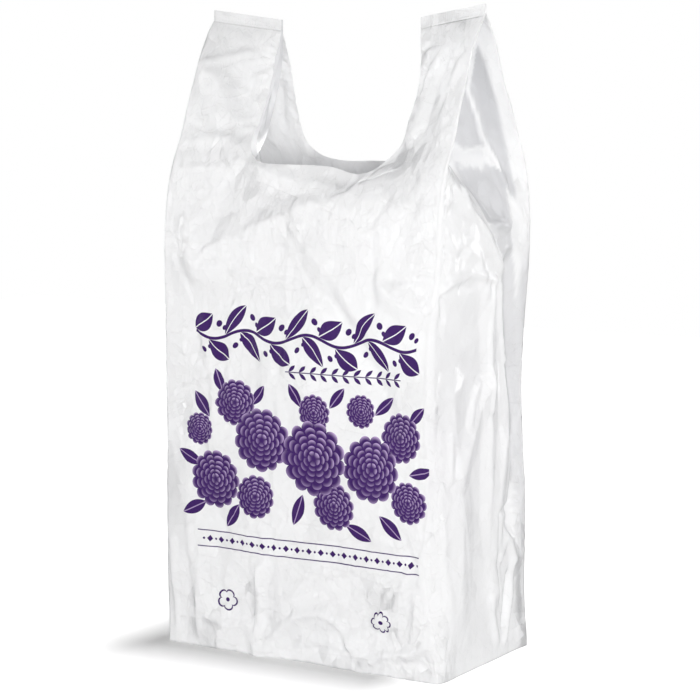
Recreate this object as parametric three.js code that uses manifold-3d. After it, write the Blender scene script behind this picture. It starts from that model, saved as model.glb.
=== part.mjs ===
// A thin film carrier bag with two strap handles, standing open.
// Millimetres, +Z up, the printed front faces -Y, origin under the middle of the base.
//
// The bag is one tube of film: a front panel, a back panel and a gusset on each side, welded
// across the bottom and across the top of each strap, with the neck punched out between them.
// A place on the film has two coordinates: q is measured round the tube from the middle of
// the front panel (plus to the right, minus to the left), and t is measured up from the base.
import * as THREE from 'three';
import Module from 'manifold-3d';

// Driving dimensions
const WIDTH = 292; // a panel, from fold to fold
const GUSSET = 165; // a gusset, opened out
const HEIGHT = 585; // base to the top weld
const WALL = 0.5; // stands in for film a few hundredths thick
const NECK_HEIGHT = 445; // the bottom of the punched neck
const NECK_FLAT = 45; // half of its straight bottom
const NECK_RADIUS = 29; // its round corners
const WELD_HEIGHT = 8; // the bar across the top of a strap
const WELD_DROP = 10; // the inner end of a strap's weld lies lower
const FIN_DEPTH = 8; // the bottom weld, lying flat under the base

const HALF_WIDTH = WIDTH / 2;
const HALF_GUSSET = GUSSET / 2;
const STRAP = HALF_WIDTH - NECK_FLAT - NECK_RADIUS;
const Q_MID_GUSSET = HALF_WIDTH + HALF_GUSSET;
const Q_BACK_FOLD = HALF_WIDTH + GUSSET;
const Q_BACK_MIDDLE = WIDTH + GUSSET;
const Q_NECK_END = HALF_WIDTH - HALF_GUSSET; // where the punch reaches the gusset's middle
const LAYER_GAP = 1.1; // between the film's layers where a strap is pressed flat
const SLIT_SPREAD = 0.15; // how far the slit between a strap's gusset strips stands open
const FOLD_HALF = 1.2; // half of the sharp back fold, along the film
const TOP_INSET = 2; // the film ends this far under the top of its weld

// Mesh spacing
const NECK_COLUMNS = 5;
const PANEL_COLUMNS = 5;
const GUSSET_COLUMNS = 5;
const BODY_ROWS = 32;
const STRAP_ROWS = 11;
const FOLD_COLUMN = NECK_COLUMNS + PANEL_COLUMNS;
const LAST_COLUMN = FOLD_COLUMN + 1 + GUSSET_COLUMNS;

// Small helpers
const clamp = (value, low, high) => Math.min(high, Math.max(low, value));
const mix = (a, b, f) => a + (b - a) * f;

function smooth(low, high, value) {
  const f = clamp((value - low) / (high - low), 0, 1);
  return f * f * (3 - 2 * f);
}

// A smooth line through points [t, value], level beyond its ends.
function curve(points) {
  const slopes = points.map((point, i) => {
    const before = points[Math.max(i - 1, 0)];
    const after = points[Math.min(i + 1, points.length - 1)];
    return (after[1] - before[1]) / (after[0] - before[0]);
  });
  return (t) => {
    if (t <= points[0][0]) return points[0][1];
    const i = points.findIndex((point) => point[0] >= t);
    if (i < 0) return points[points.length - 1][1];
    const span = points[i][0] - points[i - 1][0];
    const f = (t - points[i - 1][0]) / span;
    const rise = points[i][1] - points[i - 1][1];
    const bend0 = slopes[i - 1] * span - rise;
    const bend1 = rise - slopes[i] * span;
    return points[i - 1][1] + rise * f + f * (1 - f) * (bend0 * (1 - f) + bend1 * f);
  };
}

// The punched neck: its half width at height t, and its height at a distance q from the middle
function neckHalfWidth(t) {
  const fall = NECK_HEIGHT + NECK_RADIUS - t;
  if (fall <= 0) return NECK_FLAT + NECK_RADIUS;
  return NECK_FLAT + Math.sqrt(Math.max(0, NECK_RADIUS ** 2 - fall ** 2));
}

function neckHeightAt(q) {
  const beyond = Math.max(0, Math.abs(q) - NECK_FLAT);
  return NECK_HEIGHT + NECK_RADIUS - Math.sqrt(NECK_RADIUS ** 2 - beyond ** 2);
}

const SLIT_HEIGHT = neckHeightAt(Q_NECK_END); // above this the gusset is cut in two

// Guide lines that run up the film, right side then left; y grows towards the back
const RIGHT = {
  foldX: curve([[0, 146], [40, 143.5], [145, 142], [231, 139], [300, 140], [351, 144], [394, 145],
    [585, 146]]),
  foldY: curve([[0, 82], [40, 85], [145, 88], [231, 90], [300, 88], [351, 84.5], [394, 82.5],
    [426, 78], [447, 71], [473, 57], [498, 46], [515, 36], [545, 23], [566, 10], [577, 2], [585, 2]]),
  chamfer: curve([[0, 5], [57, 22], [111, 25], [169, 16], [249, 11], [330, 7], [400, 4], [447, 2.4],
    [585, 2.4]]),
  neckX: curve([[0, 74], [400, 75], [452, 79], [512, 80], [545, 79], [577, 75], [585, 75]]),
  neckY: curve([[0, 82], [150, 88], [260, 90], [350, 87], [405, 82], [428, 68], [452, 40], [484, 25],
    [512, 13], [545, 6.5], [577, 1.65], [585, 1.65]]),
  backNeckY: curve([[0, 82], [200, 84], [380, 82], [452, 48], [500, 24], [545, 9], [577, 1.65],
    [585, 1.65]]),
  ridge: { foot: 358, footY: 36, frontTop: 447, backTop: 432 },
  twist: 0.16,
};
const LEFT = {
  foldX: curve([[0, 146], [60, 151], [320, 152.5], [365, 151], [411, 147], [447, 144], [585, 144]]),
  foldY: curve([[0, 82], [60, 78], [320, 78], [390, 79], [426, 76], [447, 70], [473, 57], [498, 46],
    [520, 35], [545, 23], [566, 10], [577, 2], [585, 2]]),
  chamfer: curve([[0, 5], [80, 12], [300, 12], [447, 2.4], [585, 2.4]]),
  neckX: curve([[0, 74], [400, 74], [452, 72], [495, 73], [545, 72], [577, 73], [585, 73]]),
  neckY: curve([[0, 82], [150, 88], [260, 90], [350, 88], [385, 82], [420, 70], [452, 58], [495, 29],
    [530, 17], [555, 8], [577, 1.65], [585, 1.65]]),
  backNeckY: curve([[0, 82], [200, 84], [380, 82], [452, 44], [500, 25], [545, 11], [577, 1.65],
    [585, 1.65]]),
  ridge: { foot: 366, footY: 4, frontTop: 436, backTop: 440 },
  twist: 0.1,
};
const frontMiddleY = curve([[0, 82], [60, 86], [150, 90], [260, 91], [360, 87], [398, 83], [425, 74],
  [447, 62]]);
const backMiddleY = curve([[0, 82], [100, 86], [260, 87], [380, 82], [447, 72]]);
const creaseX = curve([[0, 100], [45, 101], [80, 113], [178, 117], [250, 100], [320, 98], [353, 108],
  [400, 119], [585, 119]]);
const creaseY = curve([[0, 82], [60, 87], [250, 89.5], [353, 87], [400, 82]]);

// A strap leans round its own middle, more towards its top
function strapTwist(side, x, t) {
  return side.twist * (HALF_WIDTH - STRAP / 2 - x) * smooth(455, 540, t);
}

// The gusset's tucked middle: two ridges run up from one foot to the outer folds, and the film
// between them folds inwards, as the top of a drink carton does
function gussetNodes(side, t, depth, x) {
  const { foot, footY, frontTop, backTop } = side.ridge;
  const toFront = clamp((t - foot) / (frontTop - foot), 0, 1);
  const toBack = clamp((t - foot) / (backTop - foot), 0, 1);
  const middle = mix(footY, 0, clamp((t - foot) / (SLIT_HEIGHT - foot), 0, 1));
  const ridgeY0 = mix(footY, -depth, toFront);
  const ridgeY1 = mix(footY, depth, toBack);
  const qRidge0 = HALF_WIDTH + depth + ridgeY0;
  const qRidge1 = Q_BACK_FOLD - depth + ridgeY1;
  const qMiddle = Q_MID_GUSSET + middle;
  const leg0 = Math.max(0, qMiddle - qRidge0);
  const leg1 = Math.max(0, qRidge1 - qMiddle);
  const base = Math.max(ridgeY1 - ridgeY0, 1e-6);
  const along = clamp((leg0 ** 2 - leg1 ** 2 + base ** 2) / (2 * base), 0, base);
  const tuck = Math.sqrt(Math.max(0, leg0 ** 2 - along ** 2));
  return [
    { q: qRidge0, x, y: ridgeY0 },
    { q: qMiddle, x: x - tuck, y: ridgeY0 + along },
    { q: qRidge1, x, y: ridgeY1 },
  ];
}

// The strap's gusset strips hang from the outer folds and are free at their inner edge
function strapGussetNodes(t, depth, x) {
  const edge = Math.max(LAYER_GAP / 2, SLIT_SPREAD * depth);
  const reach = Math.sqrt(STRAP ** 2 - Math.min(depth - edge, STRAP - 1) ** 2);
  return [
    { q: HALF_WIDTH + STRAP, x: x - reach, y: -edge },
    { q: Q_BACK_FOLD - STRAP, x: x - reach, y: edge },
  ];
}

// One level cut through one side of the bag, as a list of corners from front to back
function section(isLeft, t) {
  const side = isLeft ? LEFT : RIGHT;
  const x = side.foldX(t);
  const depth = side.foldY(t);
  const chamfer = side.chamfer(t);
  const turn = Math.min(chamfer * 0.8, depth - LAYER_GAP / 2);
  const panelFold = HALF_WIDTH - 0.4 * chamfer;
  const gussetFold = HALF_WIDTH + 0.6 * chamfer;
  const neckQ = NECK_FLAT + NECK_RADIUS;
  const nodes = [{ q: 0, x: 0, y: -frontMiddleY(t) }];
  nodes.push({ q: neckQ, x: side.neckX(t), y: -side.neckY(t) });
  if (isLeft && t < 400) nodes.push({ q: creaseX(t) - 1, x: creaseX(t), y: -creaseY(t) });
  nodes.push({ q: panelFold, x: x - 0.35 * chamfer, y: -depth });
  nodes.push({ q: gussetFold, x, y: -depth + turn });
  const backDepth = Math.max(LAYER_GAP * 1.5, Math.min(depth, HALF_GUSSET));
  if (t <= SLIT_HEIGHT) {
    const inner = gussetNodes(side, t, Math.min(depth, HALF_GUSSET), x);
    nodes.push(...inner.filter((node) => node.q > gussetFold + 1 && node.q < Q_BACK_FOLD - 4));
  } else {
    nodes.push(...strapGussetNodes(t, depth, x));
  }
  nodes.push({ q: Q_BACK_FOLD - FOLD_HALF, x, y: backDepth - LAYER_GAP });
  nodes.push({ q: Q_BACK_FOLD + FOLD_HALF, x: x - 0.8, y: backDepth });
  nodes.push({ q: Q_BACK_MIDDLE - neckQ, x: side.neckX(t), y: side.backNeckY(t) });
  nodes.push({ q: Q_BACK_MIDDLE, x: 0, y: backMiddleY(t) });
  return nodes;
}

function alongSection(nodes, q) {
  let i = nodes.findIndex((node) => node.q >= q);
  if (i < 0) i = nodes.length - 1;
  if (i === 0) i = 1;
  const f = clamp((q - nodes[i - 1].q) / (nodes[i].q - nodes[i - 1].q), 0, 1);
  return [mix(nodes[i - 1].x, nodes[i].x, f), mix(nodes[i - 1].y, nodes[i].y, f)];
}

// Single folds: a path of [q, t] on the film, how far it stands out, and its half width.
// Those of the front first, then the right gusset, the left gusset and the back.
const FOLDS = [
  { path: [[88, 444], [31, 416], [-18, 399], [-55, 385], [-86, 372], [-103, 356]], rise: 6, reach: 24 },
  { path: [[-55, 392], [-30, 412], [4, 422], [37, 429]], rise: -3, reach: 16 },
  { path: [[-131, 463], [-124, 430], [-117, 388], [-104, 354]], rise: 3.5, reach: 16 },
  { path: [[-87, 430], [-88, 388], [-100, 358]], rise: -3.5, reach: 14 },
  { path: [[6, 382], [27, 362], [49, 340], [63, 318], [92, 292]], rise: 5, reach: 18 },
  { path: [[36, 338], [54, 318], [80, 282], [97, 250], [104, 226]], rise: -3.5, reach: 15 },
  { path: [[84, 446], [106, 434], [116, 418], [112, 393], [103, 368], [99, 350]], rise: -3, reach: 12 },
  { path: [[90, 408], [95, 334]], rise: 2.5, reach: 12 },
  { path: [[91, 347], [104, 333], [122, 324], [143, 322]], rise: 4.5, reach: 14 },
  { path: [[-49, 334], [-48, 236]], rise: -3, reach: 16 },
  { path: [[-36, 84], [-36, 62], [-41, 24], [-44, 2]], rise: 4.5, reach: 14 },
  { path: [[-38, 2], [-18, 27], [2, 44], [28, 51], [46, 44], [56, 24]], rise: 4, reach: 16 },
  { path: [[68, 8], [96, 20], [121, 25], [141, 35]], rise: 4, reach: 13 },
  { path: [[284, 120], [297, 170], [300, 230], [292, 290], [278, 356]], rise: -8, reach: 16 },
  { path: [[252, 60], [240, 130], [246, 200], [250, 260], [242, 326]], rise: 4, reach: 16 },
  { path: [[245, 250], [220, 216], [192, 176]], rise: 4, reach: 16 },
  { path: [[271, 197], [263, 162], [256, 136], [258, 100]], rise: 4, reach: 14 },
  { path: [[184, 60], [190, 150], [182, 250]], rise: 3, reach: 24 },
  { path: [[-228.5, 20], [-228.5, 180], [-230, 340]], rise: -6, reach: 26 },
  { path: [[-190, 60], [-200, 170], [-186, 300]], rise: 4, reach: 18 },
  { path: [[400, 90], [440, 210], [430, 330]], rise: 6, reach: 26 },
  { path: [[-410, 60], [-380, 190], [-420, 320]], rise: 6, reach: 26 },
];

// Pleats of the straps, by [distance from the outer fold, t]
const PLEATS = [
  { isLeft: false, back: false, path: [[41, 564], [50, 539], [53, 513], [57, 478]], rise: 4, reach: 11 },
  { isLeft: false, back: false, path: [[34, 540], [42, 517], [48, 485], [66, 459]], rise: -4, reach: 12 },
  { isLeft: false, back: true, path: [[36, 545], [34, 500], [30, 462]], rise: -4, reach: 18 },
  { isLeft: true, back: false, path: [[10, 530], [26, 520], [38, 508], [44, 488]], rise: 4, reach: 13 },
  { isLeft: true, back: false, path: [[49, 528], [58, 503], [64, 475]], rise: -3, reach: 13 },
  { isLeft: true, back: true, path: [[30, 545], [36, 500], [28, 462]], rise: -4, reach: 18 },
];

function distanceToPath(path, q, t) {
  let best = Infinity;
  for (let i = 1; i < path.length; i += 1) {
    const [q0, t0] = path[i - 1];
    const [q1, t1] = path[i];
    const square = (q1 - q0) ** 2 + (t1 - t0) ** 2;
    const f = clamp(((q - q0) * (q1 - q0) + (t - t0) * (t1 - t0)) / square, 0, 1);
    best = Math.min(best, Math.hypot(q - q0 - f * (q1 - q0), t - t0 - f * (t1 - t0)));
  }
  return best;
}

// Uneven facets, as of film that was packed flat: chance heights at lattice points
function chance(i, j) {
  const value = Math.sin(i * 127.1 + j * 311.7) * 43758.5453;
  return 2 * (value - Math.floor(value)) - 1;
}

function facets(u, v) {
  const i = Math.floor(u);
  const j = Math.floor(v);
  const a = u - i;
  const b = v - j;
  const far = a + b > 1;
  const corner = far ? chance(i + 1, j + 1) : chance(i, j);
  const right = chance(i + 1, j) - corner;
  const up = chance(i, j + 1) - corner;
  return far ? corner + right * (1 - b) + up * (1 - a) : corner + right * a + up * b;
}

function rolling(u, v) {
  const i = Math.floor(u);
  const j = Math.floor(v);
  const a = smooth(0, 1, u - i);
  const b = smooth(0, 1, v - j);
  const low = mix(chance(i, j), chance(i + 1, j), a);
  const high = mix(chance(i, j + 1), chance(i + 1, j + 1), a);
  return mix(low, high, b);
}

// Facets whose lattice is turned and bent, so that no two creases run alike
function turnedFacets(q, t, wide, tall, angle, seed) {
  const bendQ = q + 0.45 * wide * rolling(q / (1.7 * wide) + seed, t / (1.7 * tall));
  const bendT = t + 0.45 * tall * rolling(q / (1.7 * wide), t / (1.7 * tall) + seed);
  const u = bendQ * Math.cos(angle) + bendT * Math.sin(angle);
  const v = bendT * Math.cos(angle) - bendQ * Math.sin(angle);
  return facets(u / wide + seed, v / tall - seed);
}

function foldHeight(folds, u, t) {
  let height = 0;
  for (const { path, rise, reach } of folds) {
    height += rise * Math.max(0, 1 - distanceToPath(path, u, t) / reach);
  }
  return height;
}

// How far the body's film stands out from its ruled shape
function bodyRelief(q, t) {
  let height = 2.2 * facets(q / 58 + 0.35 * Math.sin(t / 70), t / 92);
  height += 1.1 * facets(q / 31 + 7, t / 47 + 0.4 * Math.sin(q / 60));
  height += 1.8 * turnedFacets(q, t, 46, 150, 0.12, 1.9);
  height += foldHeight(FOLDS, q, t);
  const fromFold = Math.min(Math.abs(Math.abs(q) - HALF_WIDTH), Math.abs(Math.abs(q) - Q_BACK_FOLD));
  const edges = mix(0.35, 1, smooth(0, 26, t)) * mix(0.3, 1, smooth(0, 16, fromFold));
  return height * edges * (1 - smooth(430, 470, t));
}

// A strap's panel strip and gusset strip lie on each other, so they move together
function strapRelief(q, t) {
  const across = Math.abs(q);
  const back = across > Q_MID_GUSSET;
  const fromFold = back ? across - Q_BACK_FOLD : HALF_WIDTH - across;
  const own = PLEATS.filter((pleat) => pleat.isLeft === q < 0 && pleat.back === back);
  const inward = Math.abs(fromFold);
  const height = foldHeight(own, inward, t) * smooth(0, 12, inward);
  const edge = fromFold > 0 ? 1 : smooth(40, 66, inward) - 1;
  return height * edge * smooth(452, 470, t) * (1 - smooth(520, 572, t));
}

// The right back strap is pinched: its gusset strip is drawn in and its panel bulges out
function strapPinch(q, t) {
  const strip = Q_BACK_FOLD - q;
  const along = smooth(448, 480, t) * (1 - smooth(525, 565, t));
  if (q < Q_MID_GUSSET || strip < -STRAP) return 0;
  const valley = -16 * Math.max(0, 1 - Math.abs(strip - 36) / 24);
  const bulge = 14 * Math.max(0, 1 - Math.abs(strip + 36) / 30);
  return along * (strip > 0 ? valley : bulge);
}

// The front's cut edge sags between the middle and the right strap
function neckSag(q, t) {
  return 8 * Math.exp(-(((q - 45) / 20) ** 2)) * smooth(395, NECK_HEIGHT, t);
}

// The ruled shape, and the finished film
function ruled(q, t) {
  const isLeft = q < 0;
  const across = Math.abs(q);
  const [x, y] = alongSection(section(isLeft, t), across);
  const side = isLeft ? LEFT : RIGHT;
  const drop = WELD_DROP * clamp((HALF_WIDTH - x) / STRAP, 0, 1) * smooth(470, HEIGHT, t);
  const turned = y + strapTwist(side, x, t);
  return new THREE.Vector3(isLeft ? -x : x, turned, t + WALL / 2 - drop - neckSag(q, t));
}

function film(q, t) {
  const point = ruled(q, t);
  const height = bodyRelief(q, t) + strapRelief(q, t) + strapPinch(q, t);
  if (height === 0) return point;
  const step = 3;
  const around = ruled(q + step, t).sub(ruled(q - step, t));
  const up = ruled(q, t + step).sub(ruled(q, Math.max(0, t - step)));
  const outward = around.cross(up).normalize();
  return point.addScaledVector(outward, height);
}

// The film's columns round the tube: a quarter runs from a panel's middle to its gusset's middle
function quarterColumns(t) {
  const inner = t > SLIT_HEIGHT ? neckHalfWidth(t) : Q_NECK_END;
  const gussetEnd = Math.min(HALF_GUSSET, HALF_WIDTH - inner);
  return { inner, gussetEnd };
}

function quarterQ(column, t, chamfer0, chamfer1) {
  const { inner, gussetEnd } = quarterColumns(t);
  const panelEnd = HALF_WIDTH - chamfer0;
  if (column < NECK_COLUMNS) return (Q_NECK_END * column) / NECK_COLUMNS;
  if (column <= FOLD_COLUMN) return mix(inner, panelEnd, (column - NECK_COLUMNS) / PANEL_COLUMNS);
  const gussetStart = HALF_WIDTH + chamfer1;
  return mix(gussetStart, HALF_WIDTH + gussetEnd, (column - FOLD_COLUMN - 1) / GUSSET_COLUMNS);
}

const QUARTERS = [
  { sign: 1, back: false },
  { sign: 1, back: true },
  { sign: -1, back: false },
  { sign: -1, back: true },
];

function quarterPoint(quarter, column, row) {
  let t;
  if (row <= BODY_ROWS) {
    const q = Math.min(Q_NECK_END, (Q_NECK_END * column) / NECK_COLUMNS);
    t = (neckHeightAt(q) * row) / BODY_ROWS;
  } else {
    t = mix(SLIT_HEIGHT, HEIGHT - TOP_INSET, (row - BODY_ROWS) / STRAP_ROWS);
  }
  const side = quarter.sign < 0 ? LEFT : RIGHT;
  const chamfer0 = quarter.back ? FOLD_HALF : 0.4 * side.chamfer(t);
  const chamfer1 = quarter.back ? FOLD_HALF : 0.6 * side.chamfer(t);
  const q = quarterQ(column, t, chamfer0, chamfer1);
  return [quarter.sign * (quarter.back ? Q_BACK_MIDDLE - q : q), t];
}

// One name for each place on the film, so that quarters share their edges
function placeName(index, column, row) {
  const { sign, back } = QUARTERS[index];
  if (column === 0) return `middle ${back} ${row}`;
  if (column === LAST_COLUMN && row <= BODY_ROWS) return `gusset ${sign} ${row}`;
  return `${sign} ${back} ${column} ${row}`;
}

function buildFilm() {
  const points = [];
  const places = new Map();
  const triangles = [];
  const indexOf = (name, make) => {
    if (!places.has(name)) {
      places.set(name, points.length);
      points.push(make());
    }
    return places.get(name);
  };
  QUARTERS.forEach((quarter, index) => {
    const place = (column, row) => quarterPoint(quarter, column, row);
    const vertex = (column, row) => indexOf(placeName(index, column, row), () => film(...place(column, row)));
    const turned = quarter.back !== quarter.sign < 0;
    for (let row = 0; row < BODY_ROWS + STRAP_ROWS; row += 1) {
      const firstColumn = row < BODY_ROWS ? 0 : NECK_COLUMNS;
      for (let column = firstColumn; column < LAST_COLUMN; column += 1) {
        const a = vertex(column, row);
        const b = vertex(column + 1, row);
        const c = vertex(column + 1, row + 1);
        const d = vertex(column, row + 1);
        const [q0, t0] = place(column, row);
        const [q1, t1] = place(column + 1, row + 1);
        const centre = film((q0 + q1) / 2, (t0 + t1) / 2);
        const gap = (m, n) => points[m].clone().lerp(points[n], 0.5).distanceTo(centre);
        const pair = gap(a, c) < gap(b, d) ? [[a, b, c], [a, c, d]] : [[a, b, d], [b, c, d]];
        for (const triangle of pair) triangles.push(turned ? triangle.reverse() : triangle);
      }
    }
  });
  const ring = baseRing(indexOf);
  const outline = ring.map((i) => new THREE.Vector2(points[i].x, points[i].y));
  for (const [a, b, c] of THREE.ShapeUtils.triangulateShape(outline, [])) {
    triangles.push([ring[a], ring[c], ring[b]]);
  }
  return { points, triangles, ring: new Set(ring) };
}

// The bottom edge in order, anticlockwise from above
function baseRing(indexOf) {
  const order = [
    [0, 0, LAST_COLUMN, 1],
    [1, LAST_COLUMN - 1, 0, -1],
    [3, 1, LAST_COLUMN, 1],
    [2, LAST_COLUMN - 1, 1, -1],
  ];
  const ring = [];
  for (const [index, from, to, step] of order) {
    for (let column = from; column !== to + step; column += step) {
      ring.push(indexOf(placeName(index, column, 0)));
    }
  }
  return ring;
}

// Gives the film its wall: an outer and an inner skin, joined along every free edge
function thicken({ points, triangles, ring }) {
  const normals = points.map(() => new THREE.Vector3());
  const edges = new Map();
  for (const triangle of triangles) {
    const [a, b, c] = triangle.map((i) => points[i]);
    const normal = b.clone().sub(a).cross(c.clone().sub(a));
    for (let k = 0; k < 3; k += 1) {
      normals[triangle[k]].add(normal);
      edges.set(`${triangle[k]} ${triangle[(k + 1) % 3]}`, [triangle[k], triangle[(k + 1) % 3]]);
    }
  }
  const positions = [];
  for (const sign of [1, -1]) {
    points.forEach((point, i) => {
      const moved = point.clone().addScaledVector(normals[i].normalize(), (sign * WALL) / 2);
      if (ring.has(i)) moved.z = sign > 0 ? 0 : WALL;
      positions.push(moved.x, moved.y, moved.z);
    });
  }
  const count = points.length;
  const faces = [];
  for (const [a, b, c] of triangles) {
    faces.push(a, b, c, a + count, c + count, b + count);
  }
  for (const [a, b] of edges.values()) {
    if (!edges.has(`${b} ${a}`)) faces.push(b, a, a + count, b, a + count, b + count);
  }
  return { positions, faces };
}

// A straight bar between two ends, with four corners at each
function bar(start, end) {
  const positions = [...start, ...end].flatMap((corner) => corner.toArray());
  const faces = [];
  for (let k = 0; k < 4; k += 1) {
    const next = (k + 1) % 4;
    faces.push(k, next, next + 4, k, next + 4, k + 4);
  }
  faces.push(0, 2, 1, 0, 3, 2, 4, 5, 6, 4, 6, 7);
  return { positions, faces };
}

// The weld that joins a strap's four layers of film along its top
function topWeld(isLeft) {
  const half = LAYER_GAP * 1.5 + WALL;
  const side = isLeft ? LEFT : RIGHT;
  const end = (x) => {
    const drop = WELD_DROP * clamp((HALF_WIDTH - x) / STRAP, 0, 1);
    const middle = strapTwist(side, x, HEIGHT);
    const corner = (y, z) => new THREE.Vector3(isLeft ? -x : x, middle + y, z - drop);
    const low = HEIGHT - WELD_HEIGHT;
    return [corner(-half, low), corner(half, low), corner(half, HEIGHT), corner(-half, HEIGHT)];
  };
  const outer = side.foldX(HEIGHT) + WALL;
  const inner = side.neckX(HEIGHT) - STRAP * 0.02;
  return isLeft ? bar(end(outer), end(inner)) : bar(end(inner), end(outer));
}

// The bottom weld: the base film is doubled along it
function bottomWeld() {
  const reach = HALF_WIDTH - 4;
  const corner = (x, y, z) => new THREE.Vector3(x, (y * FIN_DEPTH) / 2, z * 2 * WALL);
  const end = (x) => [corner(x, -1, 0), corner(x, 1, 0), corner(x, 1, 1), corner(x, -1, 1)];
  return bar(end(-reach), end(reach));
}

// Joins the pieces into one body and stands it on the origin
const wasm = await Module();
wasm.setup();

function solid({ positions, faces }) {
  const vertProperties = new Float32Array(positions);
  const triVerts = new Uint32Array(faces);
  return new wasm.Manifold(new wasm.Mesh({ numProp: 3, vertProperties, triVerts }));
}

function bagGeometry() {
  const body = solid(thicken(buildFilm()));
  const welds = [topWeld(false), topWeld(true), bottomWeld()];
  const whole = welds.reduce((sum, weld) => sum.add(solid(weld)), body);
  const mesh = whole.getMesh();
  const geometry = new THREE.BufferGeometry();
  geometry.setAttribute('position', new THREE.BufferAttribute(mesh.vertProperties, 3));
  geometry.setIndex(new THREE.BufferAttribute(mesh.triVerts, 1));
  geometry.computeBoundingBox();
  const { min, max } = geometry.boundingBox;
  geometry.translate(-(min.x + max.x) / 2, -(min.y + max.y) / 2, -min.z);
  geometry.computeVertexNormals();
  return geometry;
}

const whiteFilm = new THREE.MeshStandardMaterial({
  color: 0xf1f2f4,
  roughness: 0.42,
  metalness: 0,
  side: THREE.DoubleSide,
});
const bag = new THREE.Mesh(bagGeometry(), whiteFilm);
bag.name = 'bag';

const carrier = new THREE.Group();
carrier.add(bag);
export default carrier;
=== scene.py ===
# A thin film carrier bag with two strap handles, standing open on a pale floor.
# The film is modelled in millimetres and turned into metres as its mesh is made.
# A place on the film has two coordinates: q is measured round the tube from the middle of the
# front panel (plus to the right, minus to the left), and t is measured up from the base.
import functools
import math

import bpy
import numpy as np
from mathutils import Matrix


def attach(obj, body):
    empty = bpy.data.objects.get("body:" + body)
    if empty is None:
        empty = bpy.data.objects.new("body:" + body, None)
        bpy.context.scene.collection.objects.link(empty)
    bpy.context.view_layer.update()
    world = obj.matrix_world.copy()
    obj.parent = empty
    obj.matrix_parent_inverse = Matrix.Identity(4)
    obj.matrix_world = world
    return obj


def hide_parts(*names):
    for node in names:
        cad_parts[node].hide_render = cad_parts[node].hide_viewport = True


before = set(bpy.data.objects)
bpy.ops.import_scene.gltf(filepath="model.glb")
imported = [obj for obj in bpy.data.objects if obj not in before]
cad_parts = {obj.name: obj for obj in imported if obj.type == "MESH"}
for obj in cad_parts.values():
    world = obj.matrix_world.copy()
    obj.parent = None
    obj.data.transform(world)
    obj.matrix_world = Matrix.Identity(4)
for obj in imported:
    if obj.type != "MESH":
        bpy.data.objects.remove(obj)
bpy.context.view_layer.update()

# Sizes of the bag
WIDTH = 292.0
GUSSET = 165.0
HEIGHT = 585.0
NECK_HEIGHT = 445.0
NECK_FLAT = 45.0
NECK_RADIUS = 29.0
WELD_START = HEIGHT - 8.0
WELD_DROP = 10.0
HALF_WIDTH = WIDTH / 2
HALF_GUSSET = GUSSET / 2
STRAP = HALF_WIDTH - NECK_FLAT - NECK_RADIUS
NECK_Q = NECK_FLAT + NECK_RADIUS
Q_MID_GUSSET = HALF_WIDTH + HALF_GUSSET
Q_BACK_FOLD = HALF_WIDTH + GUSSET
Q_BACK_MIDDLE = WIDTH + GUSSET
Q_NECK_END = HALF_WIDTH - HALF_GUSSET
LAYER_GAP = 0.5

# Mesh spacing
SPACING = 2.4
NECK_COLUMNS = round(Q_NECK_END / SPACING)
PANEL_COLUMNS = round((HALF_WIDTH - Q_NECK_END) / SPACING)
FOLD_COLUMNS = 3
GUSSET_COLUMNS = round(HALF_GUSSET / SPACING)
FOLD_COLUMN = NECK_COLUMNS + PANEL_COLUMNS
LAST_COLUMN = FOLD_COLUMN + FOLD_COLUMNS + GUSSET_COLUMNS
BASE_RINGS = 8
SEAM_WIDTH = 40.0

MM = 0.001


# Small helpers
def smooth(low, high, value):
    f = np.clip((value - low) / (high - low), 0.0, 1.0)
    return f * f * (3 - 2 * f)


def mix(a, b, f):
    return a + (b - a) * f


def curve(points):
    """A smooth line through points (t, value), level beyond its ends."""
    at = np.array([p[0] for p in points], float)
    value = np.array([p[1] for p in points], float)
    before = np.maximum(np.arange(len(points)) - 1, 0)
    after = np.minimum(np.arange(len(points)) + 1, len(points) - 1)
    slope = (value[after] - value[before]) / (at[after] - at[before])

    def line(t):
        t = np.clip(t, at[0], at[-1])
        i = np.clip(np.searchsorted(at, t), 1, len(at) - 1)
        span = at[i] - at[i - 1]
        f = (t - at[i - 1]) / span
        rise = value[i] - value[i - 1]
        bend0 = slope[i - 1] * span - rise
        bend1 = rise - slope[i] * span
        return value[i - 1] + rise * f + f * (1 - f) * (bend0 * (1 - f) + bend1 * f)

    return line


# The punched neck
def neck_half_width(t):
    fall = np.clip(NECK_HEIGHT + NECK_RADIUS - t, 0, NECK_RADIUS)
    return NECK_FLAT + np.sqrt(NECK_RADIUS**2 - fall**2)


def neck_height_at(q):
    beyond = np.maximum(0.0, np.abs(q) - NECK_FLAT)
    return NECK_HEIGHT + NECK_RADIUS - np.sqrt(NECK_RADIUS**2 - beyond**2)


SLIT_HEIGHT = float(neck_height_at(Q_NECK_END))
BODY_ROWS = round(SLIT_HEIGHT / SPACING)
STRAP_ROWS = round((HEIGHT - SLIT_HEIGHT) / SPACING)

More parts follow.
